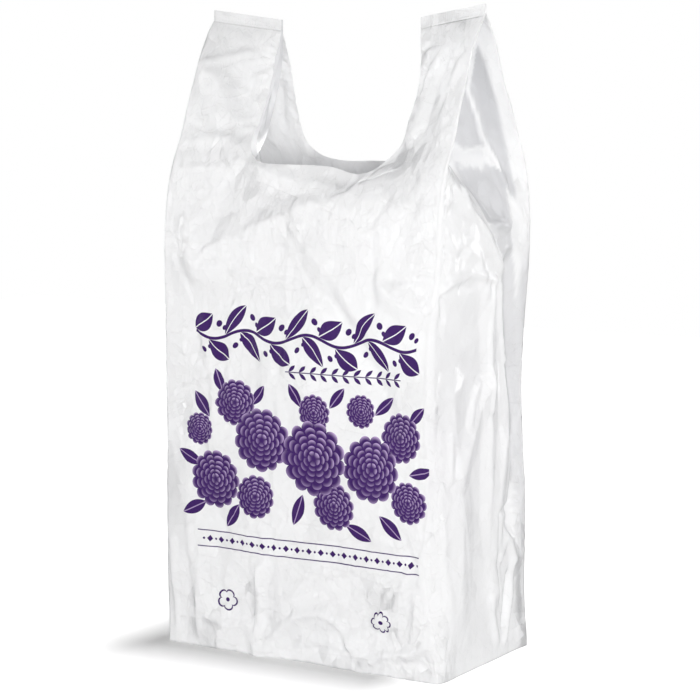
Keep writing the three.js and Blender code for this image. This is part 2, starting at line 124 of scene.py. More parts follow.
# Guide lines that run up the film; y grows towards the back
RIGHT = {
    "fold_x": curve([(0, 146), (40, 143.5), (145, 142), (231, 139), (300, 140), (351, 144),
                     (394, 145), (585, 146)]),
    "fold_y": curve([(0, 82), (40, 85), (145, 88), (231, 90), (300, 88), (351, 84.5), (394, 82.5),
                     (426, 78), (447, 71), (473, 57), (498, 46), (515, 36), (545, 23), (566, 10),
                     (577, 1), (585, 1)]),
    "chamfer": curve([(0, 5), (57, 22), (111, 25), (169, 16), (249, 11), (330, 7), (400, 4),
                      (447, 2.4), (585, 1.6)]),
    "neck_x": curve([(0, 74), (400, 75), (452, 79), (512, 80), (545, 79), (577, 75), (585, 75)]),
    "neck_y": curve([(0, 82), (150, 88), (260, 90), (350, 87), (405, 82), (428, 68), (452, 40),
                     (484, 25), (512, 13), (545, 6.5), (577, 0.75), (585, 0.75)]),
    "back_neck_y": curve([(0, 82), (200, 84), (380, 82), (452, 48), (500, 24), (545, 9),
                          (577, 0.75), (585, 0.75)]),
    "foot": 358, "foot_y": 36, "front_top": 447, "back_top": 432, "twist": 0.16,
}
LEFT = {
    "fold_x": curve([(0, 146), (60, 151), (320, 152.5), (365, 151), (411, 147), (447, 144),
                     (585, 144)]),
    "fold_y": curve([(0, 82), (60, 78), (320, 78), (390, 79), (426, 76), (447, 70), (473, 57),
                     (498, 46), (520, 35), (545, 23), (566, 10), (577, 1), (585, 1)]),
    "chamfer": curve([(0, 5), (80, 12), (300, 12), (447, 2.4), (585, 1.6)]),
    "neck_x": curve([(0, 74), (400, 74), (452, 72), (495, 73), (545, 72), (577, 73), (585, 73)]),
    "neck_y": curve([(0, 82), (150, 88), (260, 90), (350, 88), (385, 82), (420, 70), (452, 58),
                     (495, 29), (530, 17), (555, 8), (577, 0.75), (585, 0.75)]),
    "back_neck_y": curve([(0, 82), (200, 84), (380, 82), (452, 44), (500, 25), (545, 11),
                          (577, 0.75), (585, 0.75)]),
    "foot": 366, "foot_y": 4, "front_top": 436, "back_top": 440, "twist": 0.1,
}
FRONT_MIDDLE_Y = curve([(0, 82), (60, 86), (150, 90), (260, 91), (360, 87), (398, 83), (425, 74),
                        (447, 62)])
BACK_MIDDLE_Y = curve([(0, 82), (100, 86), (260, 87), (380, 82), (447, 72)])
CREASE_X = curve([(0, 100), (45, 101), (80, 113), (178, 117), (250, 100), (320, 98), (353, 108),
                  (400, 119), (585, 119)])
CREASE_Y = curve([(0, 82), (60, 87), (250, 89.5), (353, 87), (400, 82)])


def strap_twist(side, x, t):
    return side["twist"] * (HALF_WIDTH - STRAP / 2 - x) * smooth(455, 540, t)


def gusset_corners(side, t, depth, x):
    """Two ridges run up from one foot to the outer folds, and the film between them is tucked
    inwards; above the slit the strap's gusset strips hang free."""
    to_front = np.clip((t - side["foot"]) / (side["front_top"] - side["foot"]), 0, 1)
    to_back = np.clip((t - side["foot"]) / (side["back_top"] - side["foot"]), 0, 1)
    middle = side["foot_y"] * (1 - np.clip((t - side["foot"]) / (SLIT_HEIGHT - side["foot"]), 0, 1))
    ridge0 = mix(side["foot_y"], -depth, to_front)
    ridge1 = mix(side["foot_y"], depth, to_back)
    q0 = HALF_WIDTH + depth + ridge0
    q1 = Q_BACK_FOLD - depth + ridge1
    leg0 = np.maximum(0, Q_MID_GUSSET + middle - q0)
    leg1 = np.maximum(0, q1 - Q_MID_GUSSET - middle)
    base = np.maximum(ridge1 - ridge0, 1e-6)
    along = np.clip((leg0**2 - leg1**2 + base**2) / (2 * base), 0, base)
    tuck = np.sqrt(np.maximum(0, leg0**2 - along**2))
    strip = HALF_WIDTH - neck_half_width(np.maximum(t, SLIT_HEIGHT))
    edge = np.maximum(LAYER_GAP / 2, (1 - strip / HALF_GUSSET) * depth)
    reach = np.sqrt(strip**2 - (depth - edge) ** 2)
    free = t > SLIT_HEIGHT
    deep = np.where(free, reach, tuck)
    return [
        (np.where(free, HALF_WIDTH + 0.5 * strip, q0), x - np.where(free, 0.5 * reach, 0),
         np.where(free, -0.5 * (depth + edge), ridge0)),
        (np.where(free, HALF_WIDTH + strip, Q_MID_GUSSET + middle), x - deep,
         np.where(free, -edge, ridge0 + along)),
        (np.where(free, Q_BACK_FOLD - strip, Q_MID_GUSSET + middle + 0.01), x - deep,
         np.where(free, edge, ridge0 + along)),
        (np.where(free, Q_BACK_FOLD - 0.5 * strip, q1), x - np.where(free, 0.5 * reach, 0),
         np.where(free, 0.5 * (depth + edge), ridge1)),
    ]


def side_point(side, is_left, q, t):
    """The ruled film on one side of the bag, q counted from the front's middle."""
    x = side["fold_x"](t)
    depth = side["fold_y"](t)
    chamfer = side["chamfer"](t)
    turn = np.minimum(chamfer * 0.8, depth - LAYER_GAP / 2)
    zero = np.zeros_like(t)
    corners = [(zero, zero, -FRONT_MIDDLE_Y(t)), (zero + NECK_Q, side["neck_x"](t), -side["neck_y"](t))]
    if is_left:
        kink = 1 - smooth(385, 410, t)
        flat_y = mix(side["neck_y"](t), depth, (CREASE_X(t) - NECK_Q) / (x - NECK_Q))
        corners.append((CREASE_X(t) - 1, CREASE_X(t), -mix(flat_y, CREASE_Y(t), kink)))
    corners.append((HALF_WIDTH - 0.4 * chamfer, x - 0.35 * chamfer, -depth))
    corners.append((HALF_WIDTH + 0.6 * chamfer, x, -depth + turn))
    corners += gusset_corners(side, t, np.minimum(depth, HALF_GUSSET), x)
    back = np.maximum(LAYER_GAP * 1.5, np.minimum(depth, HALF_GUSSET))
    corners.append((zero + Q_BACK_FOLD - 1.2, x, back - LAYER_GAP))
    corners.append((zero + Q_BACK_FOLD + 1.2, x - 0.8, back))
    corners.append((zero + Q_BACK_MIDDLE - NECK_Q, side["neck_x"](t), side["back_neck_y"](t)))
    corners.append((zero + Q_BACK_MIDDLE, zero, BACK_MIDDLE_Y(t)))
    out_x, out_y, last = corners[0][1].copy(), corners[0][2].copy(), corners[0][0]
    for k in range(1, len(corners)):
        here = np.maximum(corners[k][0], last + 1e-6)
        f = np.clip((q - last) / (here - last), 0, 1)
        out_x += (corners[k][1] - corners[k - 1][1]) * f
        out_y += (corners[k][2] - corners[k - 1][2]) * f
        last = here
    return out_x, out_y + strap_twist(side, out_x, t)


def ruled(q, t):
    """The film without its creases, as an array of points."""
    across = np.abs(q)
    right_x, right_y = side_point(RIGHT, False, across, t)
    left_x, left_y = side_point(LEFT, True, across, t)
    x = np.where(q < 0, left_x, right_x)
    y = np.where(q < 0, left_y, right_y)
    drop = WELD_DROP * np.clip((HALF_WIDTH - x) / STRAP, 0, 1) * smooth(470, HEIGHT, t)
    return np.stack([np.where(q < 0, -x, x), y, t - drop - neck_sag(q, t)], axis=-1)


# Paths of three folds near the base, each a sharp ridge on a broad swelling
LEFT_FOOT_PATH = [(-36, 84), (-36, 62), (-41, 24), (-44, 2)]
BASE_ARCH_PATH = [(-38, 2), (-18, 27), (2, 44), (28, 51), (46, 44), (56, 24)]
RIGHT_FOOT_PATH = [(68, 8), (96, 20), (121, 25), (141, 35)]

# Main folds: a path of (q, t), how far it stands out, and its half width
FOLDS = [
    ([(88, 444), (31, 416), (-18, 399), (-55, 385), (-86, 372), (-103, 356)], 6, 24),
    ([(-55, 392), (-30, 412), (4, 422), (37, 429)], -3, 16),
    ([(-131, 463), (-124, 430), (-117, 388), (-104, 354)], 3.5, 16),
    ([(-87, 430), (-88, 388), (-100, 358)], -3.5, 14),
    ([(6, 382), (27, 362), (49, 340), (63, 318), (92, 292)], 5, 18),
    ([(36, 338), (54, 318), (80, 282), (97, 250), (104, 226)], -3.5, 15),
    ([(84, 446), (106, 434), (116, 418), (112, 393), (103, 368), (99, 350)], -3, 12),
    ([(90, 408), (95, 334)], 2.5, 12),
    ([(91, 347), (104, 333), (122, 324), (143, 322)], 4.5, 14),
    ([(-49, 334), (-48, 236)], -3, 16),
    (LEFT_FOOT_PATH, 4.5, 14),
    (BASE_ARCH_PATH, 4, 16),
    (RIGHT_FOOT_PATH, 4, 13),
    ([(284, 120), (297, 170), (300, 230), (292, 290), (278, 356)], -8, 16),
    ([(252, 60), (240, 130), (246, 200), (250, 260), (242, 326)], 4, 16),
    ([(245, 250), (220, 216), (192, 176)], 4, 16),
    ([(271, 197), (263, 162), (256, 136), (258, 100)], 4, 14),
    ([(184, 60), (190, 150), (182, 250)], 3, 24),
    ([(-228.5, 20), (-228.5, 180), (-230, 340)], -6, 26),
    ([(-190, 60), (-200, 170), (-186, 300)], 4, 18),
    ([(400, 90), (440, 210), (430, 330)], 6, 26),
    ([(-410, 60), (-380, 190), (-420, 320)], 6, 26),
]

# Small folds that are seen on the front, near the base and on the right gusset
SMALL_FOLDS = [
    ([(-77, 448), (-15, 431), (32, 427)], 2.5, 9),
    ([(-101, 351), (-68, 353), (-62, 347)], 2.0, 5),
    ([(-51, 343), (-40, 349), (-33, 347)], -2.0, 5),
    ([(-33, 341), (2, 343)], 1.8, 6),
    ([(-56, 338), (-69, 324)], -1.8, 7),
    ([(39, 329), (55, 313)], -3, 7),
    ([(65, 374), (66, 331)], 2, 6),
    ([(78, 384), (82, 322)], -3, 8),
    ([(87, 417), (76, 396)], -2.4, 6),
    ([(94, 349), (118, 352), (139, 351)], -2, 6),
    ([(137, 425), (141, 380), (143, 343)], -2, 4),
    (LEFT_FOOT_PATH, 4, 6),
    (BASE_ARCH_PATH, 4.5, 7),
    (RIGHT_FOOT_PATH, 4.5, 6),
    ([(-134, 96), (-131, 40), (-133, 4)], 3.5, 6),
    ([(-8, 60), (22, 84), (60, 92)], 3, 7),
    ([(72, 40), (104, 62), (122, 100)], 3, 7),
    ([(10, 4), (30, 26), (64, 40), (90, 36)], -4, 9),
    ([(-96, 30), (-70, 22), (-52, 30)], 3, 6),
    ([(-58, 52), (-48, 2)], 2.6, 8),
    ([(-33, 61), (-30, 34)], -2.2, 6),
    ([(26, 68), (45, 60), (63, 53)], -2.6, 7),
    ([(-19, 7), (25, 15), (51, 14), (66, 7)], -2.4, 5),
    ([(96, 20), (102, 2)], 3, 6),
    ([(106, 10), (127, 18), (143, 1)], -3, 6),
    ([(126, 109), (132, 74), (141, 44), (145, 1)], -2.2, 5),
    ([(-117, 80), (-113, 43), (-119, 10)], -2.8, 9),
    ([(-104, 82), (-106, 11)], 2.6, 7),
    ([(-82, 233), (-85, 196), (-78, 141)], 2, 8),
    ([(-86, 98), (-81, 47)], -1.8, 7),
    ([(151, 343), (164, 316)], -2, 5),
    ([(202, 343), (238, 342)], 1.5, 5),
    ([(177, 210), (174, 176)], 1.6, 6),
    ([(262, 133), (284, 133), (296, 138)], -3, 6),
    ([(262, 89), (277, 109), (292, 83)], 3, 7),
    ([(281, 71), (275, 49), (267, 28)], -4, 7),
    ([(287, 84), (282, 48), (268, 14)], 3, 5),
    ([(242, 56), (252, 17)], 2.5, 7),
    ([(190, 378), (217, 364), (234, 336)], 3, 10),
    ([(161, 406), (198, 391), (186, 364)], -2.4, 10),
    ([(258, 131), (256, 90), (260, 52)], -2.5, 5),
]

# Folds of the right gusset and of the right back strap's cut edge
SIDE_FOLDS = [
    ([(185, 426), (195, 410), (217, 398), (234, 384), (250, 366), (268, 350)], 3, 4),
    ([(274, 513), (275, 499), (278, 481), (278, 462), (280, 446), (280, 427)], 4, 5),
    ([(156, 342), (176, 348), (205, 352), (250, 344)], 3, 6),
    ([(189, 341), (234, 344)], -2, 6),
    ([(250, 344), (246, 308), (246, 290), (248, 254), (250, 227)], 2.6, 4),
    ([(263, 338), (268, 306), (279, 269)], 2, 4),
    ([(165, 405), (198, 389)], 1.4, 5),
    ([(158, 389), (187, 366)], 1.6, 5),
    ([(156, 376), (212, 362)], -1.4, 6),
    ([(230, 254), (220, 240), (210, 219)], 2.2, 7),
    ([(227, 257), (243, 260)], -2, 5),
    ([(285, 435), (280, 422), (273, 389), (250, 393)], 2.5, 4),
    ([(285, 413), (300, 392), (303, 350)], 2, 6),
]

# Pleats of the straps, by (distance from the outer fold, t), for each side and layer
PLEATS = {
    (1, False): [
        ([(41, 564), (50, 539), (53, 513), (57, 478)], 1.8, 11),
        ([(34, 540), (42, 517), (48, 485), (66, 459)], -1.8, 12),
        ([(13, 537), (21, 520), (23, 494), (15, 470)], 1.8, 8),
        ([(54, 536), (60, 523), (60, 508)], 1.6, 4),
        ([(62, 540), (66, 515)], -1.4, 4),
    ],
    (1, True): [
        ([(36, 545), (34, 500), (30, 462)], -4, 18),
        ([(52, 530), (50, 490)], 2, 8),
    ],
    (-1, False): [
        ([(10, 530), (26, 520), (38, 508), (44, 488)], 4, 13),
        ([(49, 528), (58, 503), (64, 475)], -3, 13),
        ([(8, 537), (27, 543), (46, 550)], 2.2, 6),
        ([(47, 574), (49, 561), (51, 547)], -2.2, 4),
        ([(72, 575), (70, 564), (70, 553)], -2.2, 4),
        ([(37, 557), (48, 556)], -1.6, 4),
        ([(27, 574), (39, 565), (47, 562)], 1.6, 4),
        ([(8, 463), (30, 466), (49, 465), (70, 457)], 2.5, 9),
    ],
    (-1, True): [
        ([(30, 545), (36, 500), (28, 462)], -4, 18),
        ([(56, 520), (50, 480)], 2, 8),
    ],
}


def distance_to_path(path, q, t):
    """How far each place lies from the nearest stretch of a path."""
    best = np.full_like(q, 1e9)
    for (q0, t0), (q1, t1) in zip(path, path[1:]):
        square = (q1 - q0) ** 2 + (t1 - t0) ** 2
        f = np.clip(((q - q0) * (q1 - q0) + (t - t0) * (t1 - t0)) / square, 0, 1)
        best = np.minimum(best, np.hypot(q - q0 - f * (q1 - q0), t - t0 - f * (t1 - t0)))
    return best


def chance(i, j):
    """A number from -1 to 1 that looks random, the same each time for the same (i, j)."""
    value = np.sin(i * 127.1 + j * 311.7) * 43758.5453
    return 2 * (value - np.floor(value)) - 1


def facets(u, v):
    """Flat triangles between chance heights at lattice points."""
    i, j = np.floor(u), np.floor(v)
    a, b = u - i, v - j
    far = a + b > 1
    corner = np.where(far, chance(i + 1, j + 1), chance(i, j))
    right = chance(i + 1, j) - corner
    up = chance(i, j + 1) - corner
    return corner + np.where(far, right * (1 - b) + up * (1 - a), right * a + up * b)


def rolling(u, v):
    """Smooth chance noise."""
    i, j = np.floor(u), np.floor(v)
    a, b = u - i, v - j
    a, b = a * a * (3 - 2 * a), b * b * (3 - 2 * b)
    low = mix(chance(i, j), chance(i + 1, j), a)
    high = mix(chance(i, j + 1), chance(i + 1, j + 1), a)
    return mix(low, high, b)


def turned_facets(q, t, wide, tall, angle, seed):
    """Facets whose lattice is turned and bent, so that no two creases run alike."""
    bend_q = q + 0.45 * wide * rolling(q / (1.7 * wide) + seed, t / (1.7 * tall))
    bend_t = t + 0.45 * tall * rolling(q / (1.7 * wide), t / (1.7 * tall) + seed)
    u = bend_q * math.cos(angle) + bend_t * math.sin(angle)
    v = bend_t * math.cos(angle) - bend_q * math.sin(angle)
    return facets(u / wide + seed, v / tall - seed)


def creases(q, t, kind):
    """Many straight creases, each a tent with tapered ends, bent a little along its length."""
    dice = np.random.default_rng(kind["seed"])
    height = np.zeros_like(q)
    for _ in range(kind["count"]):
        q0 = dice.uniform(-Q_BACK_MIDDLE, Q_BACK_MIDDLE)
        t0 = dice.uniform(*kind["band"])
        lean = dice.normal(kind["lean"], kind["spread"])
        half = 0.5 * dice.uniform(*kind["length"])
        wide = dice.uniform(*kind["breadth"])
        rise = dice.uniform(*kind["rise"]) * (1 if dice.random() < kind["ridges"] else -1)
        bend = dice.normal(0, 0.12)
        skew = dice.uniform(0.35, 1.0)
        near = (np.abs(q - q0) < half + wide) & (np.abs(t - t0) < half + wide)
        if not near.any():
            continue
        dq, dt = q[near] - q0, t[near] - t0
        along = (dq * math.cos(lean) + dt * math.sin(lean)) / half
        away = dt * math.cos(lean) - dq * math.sin(lean) + bend * half * (along**2 - 0.3)
        away = away / np.where(away > 0, wide, wide * skew)
        tent = np.clip(1 - np.abs(away), 0, 1) * np.clip(1.4 * (1 - np.abs(along)), 0, 1)
        height[near] += rise * tent
    return height


UPRIGHT = math.pi / 2
CREASES = {
    "long": {"seed": 5, "count": 90, "band": (40, 420), "lean": UPRIGHT, "spread": 0.22,
             "length": (90, 260), "breadth": (5, 12), "rise": (0.8, 2.4), "ridges": 0.6},
    "slanting": {"seed": 6, "count": 190, "band": (0, 470), "lean": 0.5, "spread": 0.8,
                 "length": (30, 120), "breadth": (3.5, 8), "rise": (0.7, 2.2), "ridges": 0.6},
    "short": {"seed": 11, "count": 1300, "band": (0, 470), "lean": 1.1, "spread": 1.0,
              "length": (10, 44), "breadth": (2.5, 4.5), "rise": (0.4, 1.5), "ridges": 0.6},
}


def busy(q, t):
    """Where the film is more creased: near the base, the panels' tops and the right corner."""
    side = smooth(8, 24, HALF_GUSSET - np.abs(np.abs(q) - Q_MID_GUSSET))
    base = 0.5 * (1 - smooth(20, 130, t))
    top = 0.45 * smooth(330, 440, t) * (1 - side)
    corner = 0.5 * np.exp(-(((q - 125) / 60) ** 2) - ((t - 40) / 60) ** 2)
    patch = 0.5 * rolling(q / 80 + 3, t / 100)
    return np.clip(0.7 + base + top + corner + patch, 0.25, 1.6) * (1 - 0.7 * side)


def deep_shade(q, t):
    """Where the film lies deep in a tuck or inside a strap and gets little light, from 0 to 1."""
    left = curve([(203, 294), (250, 290), (305, 283), (337, 278), (356, 273), (372, 250), (384, 236),
                  (446, 236)])(t)
    right = curve([(203, 310), (229, 310), (276, 304), (303, 300), (336, 293), (357, 288), (369, 281),
                   (389, 274), (422, 280), (435, 284), (446, 272)])(t)
    tuck = smooth(-2, 2, q - left) * smooth(-1.5, 1.5, right - q)
    ragged = t + 3.5 * rolling(q / 8, t / 8) + 2 * rolling(q / 3.5, t / 9)
    tuck *= mix(0.65, 1, smooth(385, 400, t)) * smooth(180, 215, t)
    tuck *= mix(1, 0.4, smooth(442, 446, ragged)) * (1 - smooth(458, 462, ragged))
    cut = curve([(414, 286), (427, 281), (446, 281), (462, 279), (481, 279), (499, 276), (513, 275),
                 (540, 284), (556, 293)])(t)
    band = curve([(414, 292), (426, 295), (449, 296), (476, 298), (516, 298), (537, 295),
                  (556, 293)])(t)
    slot = smooth(0, 2, q - cut) * smooth(-1, 4, band - q) * smooth(412, 420, t)
    behind = smooth(2, 4, cut - q) * smooth(234, 240, q) * smooth(458, 464, ragged)
    behind *= 1 - smooth(515, 525, t)
    strip = smooth(293, 299, q) * (1 - smooth(308, 311, q)) * (1 - smooth(330, 400, t))
    inner = 0.7 * smooth(455, 475, t) * ((q < -HALF_WIDTH) & (q > -Q_BACK_FOLD))
    shades = [tuck, mix(0.25, 0.6, smooth(60, 200, t)) * strip, slot, 0.95 * behind, inner]
    return np.clip(np.max(shades, axis=0), 0, 1)


def straight_path(q0, t0, lean, half):
    """The ends of a straight fold through (q0, t0)."""
    along, up = half * math.cos(lean), half * math.sin(lean)
    return [(q0 - along, t0 - up), (q0 + along, t0 + up)]


def fold_height(folds, u, t):
    """The folds' height: each is a tent along its path."""
    height = np.zeros_like(u)
    for path, rise, reach in folds:
        height += rise * np.clip(1 - distance_to_path(path, u, t) / reach, 0, 1)
    return height


def cross_crinkles(q, t):
    """Short creases across the great diagonal fold, where the film bunches up."""
    dice = np.random.default_rng(21)
    height = np.zeros_like(q)
    for k in range(26):
        q0 = mix(-98, 60, k / 25) + dice.uniform(-3, 3)
        t0 = mix(362, 428, (q0 + 98) / 158) + dice.uniform(-9, 6)
        lean = dice.normal(1.75, 0.45)
        path = straight_path(q0, t0, lean, dice.uniform(5, 13))
        height += fold_height([(path, dice.uniform(0.8, 2.0), dice.uniform(3, 5))], q, t)
    return height


def relief(q, t):
    """How far the body's film stands out from its ruled shape."""
    height = 2.2 * facets(q / 58 + 0.35 * np.sin(t / 70), t / 92)
    height += 1.1 * facets(q / 31 + 7, t / 47 + 0.4 * np.sin(q / 60))
    height += 1.8 * turned_facets(q, t, 46, 150, 0.12, 1.9)
    height += fold_height(FOLDS, q, t) + fold_height(SMALL_FOLDS, q, t) + cross_crinkles(q, t)
    fine = 1.1 * turned_facets(q, t, 24, 52, 0.4, 3.3)
    fine += 0.8 * turned_facets(q, t, 13, 24, -0.5, 8.1)
    for kind in CREASES.values():
        fine += creases(q, t, kind)
    height += 0.75 * fine * busy(q, t)
    from_fold = np.minimum(np.abs(np.abs(q) - HALF_WIDTH), np.abs(np.abs(q) - Q_BACK_FOLD))
    edges = mix(0.5, 1, smooth(0, 22, t)) * mix(0.3, 1, smooth(0, 16, from_fold))
    return height * edges * (1 - smooth(440, 466, t))


def joined_relief(q, t):
    """The relief, made to meet itself at the middle of the back, where q changes its sign."""
    height = relief(q, t)
    seam_start = Q_BACK_MIDDLE - SEAM_WIDTH
    seam = np.abs(q) > seam_start
    if seam.any():
        share = 0.5 * smooth(seam_start, Q_BACK_MIDDLE, np.abs(q[seam]))
        beyond = relief(q[seam] - 2 * Q_BACK_MIDDLE * np.sign(q[seam]), t[seam])
        height[seam] = mix(height[seam], beyond, share)
    return height


def strap_relief(q, t):
    """Relief of the straps: a strap's panel strip and gusset strip move together."""
    across = np.abs(q)
    back = across > Q_MID_GUSSET
    from_fold = np.where(back, across - Q_BACK_FOLD, HALF_WIDTH - across)
    d = np.abs(from_fold)
    own = np.where(q < 0, -1, 1)
    seed = np.where(q < 0, 3.0, 1.0) + back
    height = 1.5 * turned_facets(d, t, 22, 60, 0.2, seed)
    height += 1.1 * turned_facets(d, t, 12, 26, -0.3, seed + 4)
    height += 0.7 * turned_facets(d, t, 6, 11, 0.5, seed + 9)
    for (sign, at_back), folds in PLEATS.items():
        height += ((own == sign) & (back == at_back)) * fold_height(folds, d, t)
    edge = np.where(from_fold > 0, 1, smooth(48, 70, d) - 1)
    return height * edge * smooth(0, 12, d) * smooth(452, 470, t) * (1 - smooth(540, 576, t))


def strap_pinch(q, t):
    """The right back strap is pinched: its gusset strip is drawn in and its panel bulges out."""
    strip = Q_BACK_FOLD - q
    along = smooth(448, 480, t) * (1 - smooth(525, 565, t))
    valley = -16 * np.clip(1 - np.abs(strip - 36) / 24, 0, 1)
    bulge = 14 * np.clip(1 - np.abs(strip + 36) / 30, 0, 1)
    inside = (q > Q_MID_GUSSET) & (strip > -STRAP)
    return along * np.where(inside, np.where(strip > 0, valley, bulge), 0)


def edge_crinkles(q, t):
    """Short crinkles along the straps' inner edges, and a slight waviness of the cut edge."""
    dice = np.random.default_rng(31)
    across = np.abs(q)
    back = across > Q_MID_GUSSET
    d = np.where(back, across - Q_BACK_FOLD, HALF_WIDTH - across)
    height = np.zeros_like(q)
    for k in range(44):
        side = 1 if k % 2 else -1
        own = (np.sign(q) == side) & (back == (k % 4 > 1)) & (t > 440)
        d0, t0 = dice.uniform(50, 70), dice.uniform(470, 566)
        lean = dice.normal(0.5, 0.5)
        path = straight_path(d0, t0, lean, dice.uniform(4, 10))
        rise = dice.choice([-1, 1]) * dice.uniform(0.7, 1.7)
        height += own * fold_height([(path, rise, 3.5)], d, t)
    below = neck_height_at(np.clip(np.minimum(across, Q_BACK_MIDDLE - across), 0, NECK_Q)) - t
    wavy = 1.5 * rolling(q / 11, 0.5 + 0 * t) * (1 - smooth(0, 9, np.abs(below)))
    return height * (1 - smooth(565, 576, t)) + wavy * (t < 470)


def neck_sag(q, t):
    """The front's cut edge sags between the middle and the right strap."""
    return 8 * np.exp(-(((q - 45) / 20) ** 2)) * smooth(395, NECK_HEIGHT, t)


# The film's grid
def ring_grid():
    """(q, t) of every place on the body, row by row round the tube."""
    column = np.arange(LAST_COLUMN + 1)
    row = np.arange(BODY_ROWS + 1)
    neck_q = np.minimum(Q_NECK_END, Q_NECK_END * column / NECK_COLUMNS)
    t = neck_height_at(neck_q)[None, :] * row[:, None] / BODY_ROWS
    quarters = []
    for side, back in ((RIGHT, False), (RIGHT, True), (LEFT, True), (LEFT, False)):
        q = quarter_q(side, back, column[None, :] + 0 * t, t)
        sign = 1 if side is RIGHT else -1
        quarters.append(sign * (Q_BACK_MIDDLE - q if back else q))
    front_right, back_right, back_left, front_left = quarters
    q = np.concatenate([front_right[:, :-1], back_right[:, :0:-1], back_left[:, :-1],
                        front_left[:, :0:-1]], axis=1)
    t = np.concatenate([t[:, :-1], t[:, :0:-1], t[:, :-1], t[:, :0:-1]], axis=1)
    return q, t


def quarter_q(side, back, column, t):
    """q of a column, counted from the middle of its own panel."""
    free = t > SLIT_HEIGHT + 1e-6
    inner = np.where(free, neck_half_width(t), Q_NECK_END)
    gusset = np.minimum(HALF_GUSSET, HALF_WIDTH - inner)
    chamfer = side["chamfer"](t)
    fold0 = HALF_WIDTH - (1.2 if back else 0.4 * chamfer)
    fold1 = HALF_WIDTH + (1.2 if back else 0.6 * chamfer)
    neck = Q_NECK_END * column / NECK_COLUMNS
    panel = mix(inner, fold0, (column - NECK_COLUMNS) / PANEL_COLUMNS)
    fold = mix(fold0, fold1, (column - FOLD_COLUMN) / FOLD_COLUMNS)
    strip = mix(fold1, HALF_WIDTH + gusset, (column - FOLD_COLUMN - FOLD_COLUMNS) / GUSSET_COLUMNS)
    q = np.where(column < NECK_COLUMNS, neck, panel)
    q = np.where(column > FOLD_COLUMN, fold, q)
    return np.where(column > FOLD_COLUMN + FOLD_COLUMNS, strip, q)


def strap_grid(side, back):
    """(q, t) of one strap's layer, its first row on the body's last."""
    column = np.arange(NECK_COLUMNS, LAST_COLUMN + 1)
    row = np.arange(STRAP_ROWS + 1)
    t = (SLIT_HEIGHT + (HEIGHT - SLIT_HEIGHT) * row / STRAP_ROWS)[:, None] + 0.0 * column[None, :]
    q = quarter_q(side, back, column[None, :] + 0 * t, t)
    sign = 1 if side is RIGHT else -1
    return sign * (Q_BACK_MIDDLE - q if back else q), t


def outward(q, t):
    """The way that relief stands out. In the left gusset's narrow tuck it is taken over a longer
    step, so that both of its sides move together and it stays shut."""
    tucked = (1 - smooth(8, 16, np.abs(q + Q_MID_GUSSET))) * (1 - smooth(350, 380, t))
    step = mix(2.0, 9.0, tucked)
    around = ruled(q + step, t) - ruled(q - step, t)
    up = ruled(q, t + step) - ruled(q, np.maximum(0, t - step))
    normal = np.cross(around, up)
    return normal / np.maximum(1e-9, np.linalg.norm(normal, axis=-1, keepdims=True))


def film(q, t):
    """The finished film: the ruled shape with its creases."""
    height = joined_relief(q, t) + strap_relief(q, t) + strap_pinch(q, t) + edge_crinkles(q, t)
    height += fold_height(SIDE_FOLDS, q, t)
    return ruled(q, t) + outward(q, t) * height[..., None]


def build_film():
    """Points in millimetres, faces, and the film coordinates of each point."""
    q, t = ring_grid()
    rows, ring = q.shape
    points = [film(q, t).reshape(-1, 3)]
    points[0][:ring, 2] = 0
    places = [np.stack([q, t], axis=-1).reshape(-1, 2)]
    body = np.arange(rows * ring).reshape(rows, ring)
    faces = [quads(body, True)]
    count = rows * ring
    quarter = LAST_COLUMN
    strap_columns = np.arange(NECK_COLUMNS, quarter + 1)
    straps = (
        (RIGHT, False, strap_columns),
        (RIGHT, True, 2 * quarter - strap_columns),
        (LEFT, True, 2 * quarter + strap_columns),
        (LEFT, False, (4 * quarter - strap_columns) % ring),
    )
    for side, back, foot in straps:
        q, t = strap_grid(side, back)
        block = np.zeros(q.shape, int)
        block[0] = body[-1, foot]
        block[1:] = count + np.arange(q[1:].size).reshape(q[1:].shape)
        count += q[1:].size
        points.append(film(q[1:], t[1:]).reshape(-1, 3))
        places.append(np.stack([q[1:], t[1:]], axis=-1).reshape(-1, 2))
        turned = back != (side is LEFT)
        faces.append(quads(block[:, ::-1] if turned else block, False))
    base_points, base_places, base_faces = build_base(points[0][:ring], places[0][:ring], count)
    points.append(base_points)
    places.append(base_places)
    faces.append(base_faces)
    return np.concatenate(points), np.concatenate(faces), np.concatenate(places)


def quads(block, closed):
    """Faces between the points of a grid; if it is closed, its last column meets its first."""
    if closed:
        left, right = block, np.roll(block, -1, axis=1)
    else:
        left, right = block[:, :-1], block[:, 1:]
    corners = [left[:-1], right[:-1], right[1:], left[1:]]
    return np.stack([c.reshape(-1) for c in corners], axis=-1)


def build_base(edge, edge_places, first):
    """The base: rings that shrink to the bottom weld, which lies along the middle."""
    middle = np.stack([edge[:, 0] * 0.86, 0 * edge[:, 1], 0 * edge[:, 2]], axis=-1)
    ring = len(edge)
    points, places = [], []
    for k in range(1, BASE_RINGS + 1):
        f = k / BASE_RINGS
        level = mix(edge, middle, f)
        rise = 0.5 * (1 + facets(level[:, 0] / 17, level[:, 1] / 13)) * math.sin(math.pi * f) * 0.8
        level[:, 2] = rise
        points.append(level)
        places.append(np.stack([edge_places[:, 0], -f * HALF_GUSSET + 0 * edge[:, 0]], axis=-1))
    inner = first + np.arange(BASE_RINGS * ring).reshape(BASE_RINGS, ring)
    index = np.concatenate([np.arange(ring)[None, :], inner])
    return np.concatenate(points), np.concatenate(places), quads(index[::-1], True)


